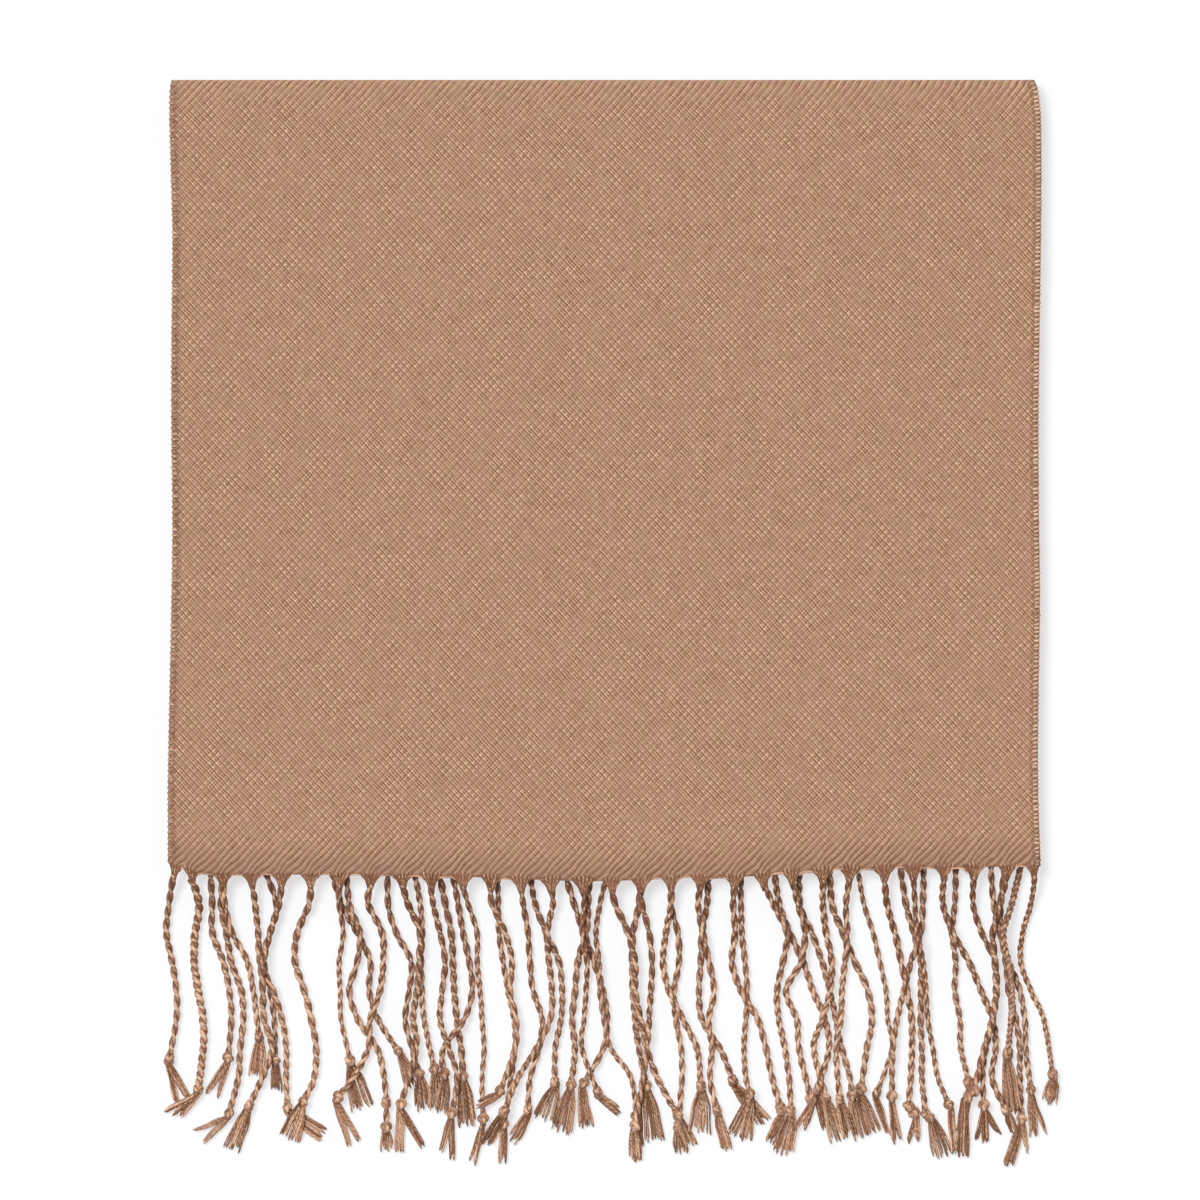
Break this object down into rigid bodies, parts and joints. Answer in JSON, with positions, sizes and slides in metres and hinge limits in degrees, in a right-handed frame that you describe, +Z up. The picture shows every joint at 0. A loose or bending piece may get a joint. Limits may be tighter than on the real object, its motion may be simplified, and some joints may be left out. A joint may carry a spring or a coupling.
{
  "type": "bamboo scarf",
  "caption": "Long woven scarf folded flat into a rectangle, with both ends' twisted and knotted fringes spread out below its hem.",
  "frame": {"origin": "on the flat underside that the folded scarf lies on, in the middle of the folded cloth", "axes": "+Z up out of the surface that the scarf lies on, +Y from the fringe towards the top fold, +X towards the right of the picture"},
  "size_m": [0.3099, 0.376, 0.0078],
  "materials": {
    "twill": "soft matte small-figured twill, warm tan",
    "inner_twill": "soft matte small-figured twill, warm tan in shade",
    "cord": "silky twisted yarn, rose brown"
  },
  "bodies": {
    "root": {"front_layer": "twill", "rear_layer": "inner_twill", "folded_layers": "inner_twill", "front_fringe": "cord", "rear_fringe": "cord"}
  },
  "joints": []
}
